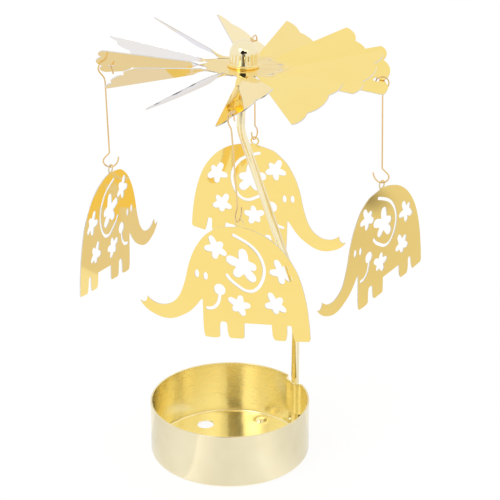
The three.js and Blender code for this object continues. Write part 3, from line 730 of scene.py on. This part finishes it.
def make_cup(material):
    bm = bmesh.new()
    rows = cup_rows()
    angles = cup_angles()
    grid = []
    for radius, height in rows:
        ring = []
        for angle in angles:
            reach = radius + clip_press(angle, height)
            ring.append(bm.verts.new((reach * math.cos(angle), reach * math.sin(angle), height)))
        grid.append(ring)
    low_rows = [i for i, (radius, height) in enumerate(rows) if height == SLIT_LOW]
    high_rows = [i for i, (radius, height) in enumerate(rows) if height == SLIT_HIGH]
    slit_bands = (low_rows[0], high_rows[1])
    for r in range(len(rows) - 1):
        for i in range(len(angles)):
            if r in slit_bands and i < CLIP_COLUMNS:
                continue
            j = (i + 1) % len(angles)
            bm.faces.new((grid[r][i], grid[r][j], grid[r + 1][j], grid[r + 1][i]))
    for outer, inner in (low_rows, high_rows):
        for i in range(CLIP_COLUMNS):
            bm.faces.new((grid[outer][i], grid[outer][i + 1], grid[inner][i + 1], grid[inner][i]))
    for i in (0, CLIP_COLUMNS):
        corners = (low_rows[0], high_rows[0], high_rows[1], low_rows[1])
        bm.faces.new([grid[row][i] for row in corners])
    fill_floor(bm, grid[0], grid[-1])
    bmesh.ops.recalc_face_normals(bm, faces=bm.faces)
    cup = object_of("cup_shell", bm, material)
    dress(smooth(cup, sharp_deg=32), "cup", "candle_cup")


def fill_floor(bm, under, over):
    """The floor's two faces, with the hole through it and the pip pressed up in it."""
    throats = []
    for rim, height, inward in ((under, 0, HOLE_ROUND), (over, CUP_WALL, -HOLE_ROUND)):
        outline = circle(FLOOR_HOLE, FLOOR_HOLE_RADIUS + HOLE_ROUND, HOLE_STEPS)
        edge = [bm.verts.new((x, y, height)) for x, y in outline]
        outline = circle(FLOOR_HOLE, FLOOR_HOLE_RADIUS, HOLE_STEPS)
        throat = [bm.verts.new((x, y, height + inward)) for x, y in outline]
        bridge(bm, edge, throat)
        throats.append(throat)
        fill(bm, [rim, edge, pip_dome(bm, height)])
    bridge(bm, *throats)


def pip_dome(bm, height):
    """A low dome with a rounded foot. Returns the ring of its foot."""
    rings = []
    for across, up in PIP_SHARES:
        outline = circle(PIP, PIP_RADIUS * across, PIP_STEPS)
        rings.append([bm.verts.new((x, y, height + PIP_HEIGHT * up)) for x, y in outline])
    for low, high in zip(rings, rings[1:]):
        bridge(bm, low, high)
    crown = bm.verts.new((PIP.x, PIP.y, height + PIP_HEIGHT))
    last = rings[-1]
    for i in range(PIP_STEPS):
        bm.faces.new((last[i], last[(i + 1) % PIP_STEPS], crown))
    return rings[0]


# Rod and needle

PIVOT = Vector(JOINTS["rotor_spin"]["pos_m"])
HUB = Vector((PIVOT.x, PIVOT.y, 0))
CLIP_WAY = Vector((math.cos(CLIP_AZIMUTH), math.sin(CLIP_AZIMUTH), 0))
ROD_STANDS = (CUP_RADIUS - ROD_SET_BACK) * CLIP_WAY


def rod_plane(reach, height):
    """A place in the rod's upright plane, its reach measured from the hub towards the foot."""
    away = (ROD_STANDS - HUB).normalized()
    return HUB + away * reach + Vector((0, 0, height))


def rod_corners():
    """The rod's middle line with its bends still sharp: foot, two bends and needle tip."""
    reach = (ROD_STANDS - HUB).length
    return [
        rod_plane(reach, ROD_FOOT),
        rod_plane(reach, ROD_LOWER_BEND),
        rod_plane(-ROD_OVERSHOOT, ROD_UPPER_BEND),
        rod_plane(0, NEEDLE_TIP),
    ]


def bend(before, corner, after, radius, steps):
    """Points of the round bend that takes a sharp corner's place."""
    into = (corner - before).normalized()
    away = (after - corner).normalized()
    turn = into.angle(away)
    start = corner - into * radius * math.tan(turn / 2)
    inward = (away - into * away.dot(into)).normalized()
    centre = start + inward * radius
    points = []
    for i in range(steps + 1):
        angle = turn * i / steps
        points.append(centre - inward * radius * math.cos(angle) + into * radius * math.sin(angle))
    return points


def along_top(height):
    """The place at a height on the straight run from the upper bend to the needle's tip."""
    corners = rod_corners()
    run = (corners[3] - corners[2]).normalized()
    return corners[3] + run * (height - NEEDLE_TIP) / run.z


def make_rod(material):
    foot, lower, upper, tip = rod_corners()
    line = [foot, foot + Vector((0, 0, ROD_CHAMFER))]
    line += bend(foot, lower, upper, ROD_LOWER_ROUND, steps=24)
    line += bend(lower, upper, tip, ROD_UPPER_ROUND, steps=28)
    line += [along_top(ROD_TOP - ROD_TAPER), along_top(ROD_TOP)]
    top_radius = NEEDLE_RADIUS + PRESS_GAP + (ROD_RADIUS - NEEDLE_RADIUS) / 3
    radii = [ROD_RADIUS - ROD_CHAMFER] + [ROD_RADIUS] * (len(line) - 2) + [top_radius]
    rod = tube("rod_bar", line, radii, material, sides=48)
    dress(smooth(rod, sharp_deg=25), "rod", "support_rod")


def make_needle(material):
    line = [along_top(height) for height, radius in NEEDLE_PROFILE]
    radii = [radius for height, radius in NEEDLE_PROFILE]
    needle = tube("needle_pin", line, radii, material, sides=32)
    dress(smooth(needle, sharp_deg=25), "rod", "needle_point")


# Rotor

ROTOR_PLACE = (
    Matrix.Translation(HUB + Vector((0, 0, NEEDLE_TIP + PIVOT_GAP)))
    @ Matrix.Rotation(ROTOR_LEAN_X, 4, "X")
    @ Matrix.Rotation(ROTOR_LEAN_Y, 4, "Y")
)


def twisted(point, k):
    """A place on a flat blade after its neck is twisted and the blade is lifted."""
    past = point.x - DISC_RADIUS
    neck_end = DISC_RADIUS + TWIST_LENGTH
    spring = SPRINGS_DEG[k] * clamped((MIDDLE_TIP - point.x) / (MIDDLE_TIP - neck_end))
    twist = math.radians(TWISTS_DEG[k] + spring) * clamped(past / TWIST_LENGTH)
    lift = math.radians(LIFTS_DEG[k])
    turned = Matrix.Rotation(twist, 3, "X") @ point
    turned += max(past, 0) * Vector((math.cos(lift) - 1, 0, math.sin(lift)))
    return Matrix.Rotation(2 * math.pi * k / BLADES, 3, "Z") @ turned


def blade_end():
    """The scalloped end of a blade from its left edge round to its right edge."""
    steps = 24
    lobe = arc(LOBE_REACH, LOBE_OFFSET, LOBE_RADIUS, LOBE_CORNER_DEG, -LOBE_NOTCH_DEG, steps)
    rise = MIDDLE_TIP - NOTCH_REACH
    bow = (NOTCH_OFFSET ** 2 + rise ** 2) / (2 * rise)
    spread = math.degrees(math.asin(NOTCH_OFFSET / bow))
    middle = arc(MIDDLE_TIP - bow, 0, bow, spread, -spread, steps)
    return lobe + middle + [(x, -y) for x, y in reversed(lobe)]


def edge_height(reach):
    """Half the blade's width at a reach: its edge runs along the slit beside it."""
    half_pitch = math.pi / BLADES
    return reach * math.tan(half_pitch) - SLIT_WIDTH / 2 / math.cos(half_pitch)


def steps_between(start, finish, steps):
    return [start + (finish - start) * (i + 1) / steps for i in range(steps)]


def neck_rows():
    """The blade's left edge from the disc outwards: the slit's round end, then its side."""
    half_pitch_deg = 180 / BLADES
    slit_end = DISC_RADIUS + SLIT_WIDTH / 2
    centre_x = slit_end * math.cos(math.radians(half_pitch_deg))
    centre_y = slit_end * math.sin(math.radians(half_pitch_deg))
    first, last = 180 + half_pitch_deg, 270 + half_pitch_deg
    corner = arc(centre_x, centre_y, SLIT_WIDTH / 2, first, last, steps=10)
    neck_end = DISC_RADIUS + TWIST_LENGTH
    reaches = steps_between(corner[-1][0], neck_end, NECK_STEPS)
    reaches += steps_between(neck_end, BLADE_GRID_REACH, BLADE_STEPS)
    return corner + [(x, edge_height(x)) for x in reaches]


def add_blade(bm, k):
    """One blade: a grid over its neck and one flat face beyond it. Returns its row at the disc."""
    rows = []
    for x, y in neck_rows():
        row = []
        for i in range(BLADE_COLUMNS + 1):
            flat = Vector((x, y * (1 - 2 * i / BLADE_COLUMNS), 0))
            row.append(bm.verts.new(twisted(flat, k)))
        rows.append(row)
    for low, high in zip(rows, rows[1:]):
        for i in range(BLADE_COLUMNS):
            bm.faces.new((low[i], low[i + 1], high[i + 1], high[i]))
    end = [bm.verts.new(twisted(Vector((x, y, 0)), k)) for x, y in blade_end()]
    loops = [rows[-1][::-1] + end]
    if k % (BLADES // len(SIDES)) == 0:
        hole = circle(HOOK_HOLE, HOOK_HOLE_RADIUS, steps=32)
        loops.append([bm.verts.new(twisted(Vector((x, y, 0)), k)) for x, y in hole])
    fill(bm, loops)
    return rows[0]


def make_rotor(material, edge):
    bm = bmesh.new()
    outline = []
    for k in range(BLADES):
        outline += add_blade(bm, k)[::-1]
    bore = circle(Vector(), ROTOR_BORE, steps=64)
    fill(bm, [outline, [bm.verts.new((x, y, 0)) for x, y in bore]])
    bmesh.ops.recalc_face_normals(bm, faces=bm.faces)
    up = sum(face.normal.z * face.calc_area() for face in bm.faces)
    if up < 0:
        bmesh.ops.reverse_faces(bm, faces=bm.faces)
    bm.transform(ROTOR_PLACE @ Matrix.Translation((0, 0, -ROTOR_DROP)))
    rotor = object_of("rotor_sheet", bm, material)
    solid = rotor.modifiers.new("thickness", "SOLIDIFY")
    solid.thickness = SHEET
    solid.offset = 0
    rotor = bevelled(rotor, EDGE_ROUND, limit_deg=60)
    show_edges(rotor, edge, Vector((0, 0, 1)), least=0.71)
    dress(smooth(rotor, sharp_deg=14), "rotor", "rotor_fan")


# Hub

def make_cap(material, flange):
    bore_top = -SHEET_TOP + BEARING_CROWN
    half = FLANGE_HEIGHT / 2
    profile = [
        (0, bore_top),
        (CAP_BORE, bore_top),
        (CAP_BORE, -NECK_LENGTH),
        (NECK_RADIUS, -NECK_LENGTH),
        (NECK_RADIUS, 0),
        (FLANGE_RADIUS, 0),
        *arc(FLANGE_RADIUS - half, half, half, -60, 90, steps=8),
        *arc(CAP_RADIUS + half, FLANGE_HEIGHT + half, half, 260, 180, steps=6),
        *arc(0, CAP_STRAIGHT, CAP_RADIUS, 0, 88, steps=40),
        (0, CAP_STRAIGHT + CAP_RADIUS),
    ]
    place = ROTOR_PLACE @ Matrix.Translation((0, 0, SHEET_TOP + PRESS_GAP))
    cap = lathe("hub_dome", profile, material, place, columns=128)
    cap.data.materials.append(flange)
    level = place.inverted()
    for face in cap.data.polygons:
        if (level @ face.center).z < FLANGE_FINISH_TOP:
            face.material_index = 1
    dress(smooth(cap, sharp_deg=32), "rotor", "hub_cap")


def make_bearing(material):
    profile = [
        (0, 0),
        (CONE_RADIUS, -CONE_DEPTH),
        (BEARING_RADIUS, -CONE_DEPTH),
        (BEARING_RADIUS, BEARING_CROWN - BEARING_CHAMFER),
        (BEARING_RADIUS - BEARING_CHAMFER, BEARING_CROWN),
        (0, BEARING_CROWN),
    ]
    bearing = lathe("bearing_seat", profile, material, ROTOR_PLACE, columns=64)
    dress(smooth(bearing, sharp_deg=25), "rotor", "bearing_cup")


def make_washer(material):
    inner = NECK_RADIUS + PRESS_GAP
    profile = [
        (inner, 0),
        (WASHER_RADIUS, 0),
        (WASHER_RADIUS, WASHER_THICKNESS),
        (inner, WASHER_THICKNESS),
    ]
    drop = SHEET_TOP - SHEET - WASHER_THICKNESS - PRESS_GAP
    place = ROTOR_PLACE @ Matrix.Translation((0, 0, drop))
    washer = lathe("hub_ring", profile, material, place, columns=96)
    washer = bevelled(washer, EDGE_ROUND, limit_deg=40)
    dress(smooth(washer, sharp_deg=25), "rotor", "hub_washer")


# Hooks

def hanger(i, side):
    """Where a hook hangs: its origin in the blade's hole, +X away from the hub."""
    flat = twisted(HOOK_HOLE, i * BLADES // len(SIDES))
    hole = ROTOR_PLACE @ (flat - Vector((0, 0, ROTOR_DROP)))
    outward = math.atan2(hole.y - HUB.y, hole.x - HUB.x)
    turn = Matrix.Rotation(outward + math.radians(HOOK_TURNS_DEG[side]), 4, "Z")
    lean = Matrix.Rotation(-math.radians(HOOK_LEANS_DEG[side]), 4, "Y")
    return Matrix.Translation(hole) @ lean @ turn


def make_hook(i, side, material):
    low = Vector((SHANK_BOTTOM, 0, -HOOK_LENGTHS[side]))
    loop = [Vector((x * LOOP_REACH, 0, z * LOOP_DROP)) for x, z in LOOP_SHARES]
    curl = [low + Vector((x * CURL_WIDTH, 0, z * CURL_HEIGHT)) for x, z in CURL_SHARES]
    upper = spline(loop + [Vector((SHANK_TOP, 0, -LOOP_DROP))], steps=96)
    lower = spline([low + Vector((0, 0, CURL_HEIGHT))] + curl, steps=80)
    place = hanger(i, side)
    line = [place @ point for point in upper + lower]
    first = line[0] + (line[0] - line[1]).normalized() * WIRE_CHAMFER
    last = line[-1] + (line[-1] - line[-2]).normalized() * WIRE_CHAMFER
    end_radius = WIRE_RADIUS - WIRE_CHAMFER
    radii = [end_radius] + [WIRE_RADIUS] * len(line) + [end_radius]
    hook = tube("wire_hook_" + side, [first, *line, last], radii, material, sides=20)
    dress(smooth(hook, sharp_deg=30), "hanger_" + side, "hook_" + side)


# Pendants

def sheet_plane(mesh):
    """A flat sheet's own axes and place: the way along it, its normal and its middle."""
    widest = max(mesh.polygons, key=lambda face: face.area)
    normal = widest.normal.copy()
    normal.z = 0
    normal.normalize()
    if normal.y > 0:
        normal.negate()
    along = Vector((0, 0, 1)).cross(-normal)
    heights = [vertex.co.dot(normal) for vertex in mesh.vertices]
    middle = (min(heights) + max(heights)) / 2
    return along.normalized(), normal, middle


def outline_loops(mesh, normal):
    """The loops of points round the sheet's front face: its outline and its cut-outs."""
    bm = bmesh.new()
    bm.from_mesh(mesh)
    bmesh.ops.remove_doubles(bm, verts=bm.verts, dist=SOLID_WELD)
    bm.normal_update()
    front = {face for face in bm.faces if face.normal.dot(normal) > FRONT_FACING}
    rim = {edge for edge in bm.edges if len(front.intersection(edge.link_faces)) == 1}
    loops = []
    while rim:
        edge = rim.pop()
        first, here = edge.verts
        loop = [first.co.copy()]
        while here is not first:
            loop.append(here.co.copy())
            following = next((e for e in here.link_edges if e in rim), None)
            if following is None:
                break
            rim.discard(following)
            here = following.other_vert(here)
        loops.append(loop)
    bm.free()
    return loops


def thinned(loop, least):
    """The loop without the points that lie closer than the least distance to the one before."""
    kept = [loop[0]]
    for point in loop[1:]:
        if (point - kept[-1]).length > least:
            kept.append(point)
    if (kept[-1] - kept[0]).length < least:
        kept.pop()
    return kept


def add_outline(curve, points):
    """A closed curve through the points, smooth but for its corners."""
    path = curve.splines.new("BEZIER")
    path.bezier_points.add(len(points) - 1)
    path.use_cyclic_u = True
    path.resolution_u = 4
    for i, point in enumerate(points):
        into = point - points[i - 1]
        away = points[(i + 1) % len(points)] - point
        knot = path.bezier_points[i]
        knot.co = (*point, 0)
        crisp = into.angle(away) > OUTLINE_CORNER
        knot.handle_left_type = knot.handle_right_type = "VECTOR" if crisp else "AUTO"


def make_pendant(side, material, edge):
    node = frame["nodes"]["elephant_" + side]
    along, normal, middle = sheet_plane(node.data)
    up = Vector((0, 0, 1))
    curve = bpy.data.curves.new("pendant_outline", "CURVE")
    curve.dimensions = "2D"
    curve.fill_mode = "BOTH"
    for loop in outline_loops(node.data, normal):
        flat = [Vector((point.dot(along), point.dot(up))) for point in loop]
        add_outline(curve, thinned(flat, OUTLINE_STEP))
    curve.bevel_depth = EDGE_ROUND
    curve.bevel_resolution = 1
    curve.offset = -EDGE_ROUND
    curve.extrude = SHEET / 2 - EDGE_ROUND
    drawing = bpy.data.objects.new("pendant_outline", curve)
    bpy.context.scene.collection.objects.link(drawing)
    mesh = evaluated_mesh(drawing)
    bpy.data.objects.remove(drawing)
    place = Matrix((along, up, normal)).transposed().to_4x4()
    mesh.transform(Matrix.Translation(normal * middle) @ place)
    bm = bmesh.new()
    bm.from_mesh(mesh)
    bmesh.ops.remove_doubles(bm, verts=bm.verts, dist=PLATE_WELD)
    bmesh.ops.recalc_face_normals(bm, faces=bm.faces)
    pendant = object_of("pendant_plate_" + side, bm, material)
    show_edges(pendant, edge, normal, least=0.9)
    dress(smooth(pendant, sharp_deg=14), "pendant_" + side, "elephant_" + side)


# The whole

bpy.context.scene.view_settings.view_transform = "Standard"
make_camera()
make_world()
make_floor()
for card in CARDS:
    make_card(*card)
make_cup_ring()
make_lamp("key_softbox", (-0.75, -0.75, 0.75), size=0.5, power=3)

# The inside tones are lighter than the outside ones: partly the brass's own, partly painted light
cup_metal = brushed_cup(
    "brushed_brass",
    outside=((0.8, 0.71, 0.47), (0.85, 0.77, 0.54)),
    inside=((0.99, 0.88, 0.5), (1, 0.9, 0.54)),
)
rod_metal = drawn(
    "polished_rod", (0.91, 0.79, 0.48), (0.94, 0.85, 0.58), roughness=0.12, streak=120
)
steel = drawn("hard_steel", (0.55, 0.56, 0.57), (0.7, 0.71, 0.72), roughness=0.18, streak=400)
edge_metal = drawn("cut_edge", (0.62, 0.6, 0.57), (0.8, 0.78, 0.75), roughness=0.3, streak=900)
wire_metal = drawn("hook_wire", (0.8, 0.55, 0.24), (0.87, 0.64, 0.32), roughness=0.16, streak=300)
rotor_metal = polished(
    "rotor_gold", (0.93, 0.72, 0.23), (0.95, 0.745, 0.26), roughness=0.04, coat=0.3, ripple=0.01
)
cap_metal = polished(
    "cap_gold", (0.9, 0.79, 0.51), (0.93, 0.83, 0.56), roughness=0.03, coat=0, ripple=0.004,
    satin_below=CAP_SATIN_BELOW,
)
flange_metal = polished(
    "flange_gold", (0.93, 0.7, 0.25), (0.95, 0.74, 0.3), roughness=0.05, coat=0.2, ripple=0.004
)
pendant_metal = polished(
    "pendant_gold", (0.93, 0.71, 0.225), (0.95, 0.74, 0.25), roughness=0.06, coat=0.1, ripple=0.02
)

make_cup(cup_metal)
make_rod(rod_metal)
make_needle(steel)
make_rotor(rotor_metal, edge_metal)
make_cap(cap_metal, flange_metal)
make_bearing(steel)
make_washer(cap_metal)
for number, name in enumerate(SIDES):
    make_hook(number, name, wire_metal)
    make_pendant(name, pendant_metal, edge_metal)
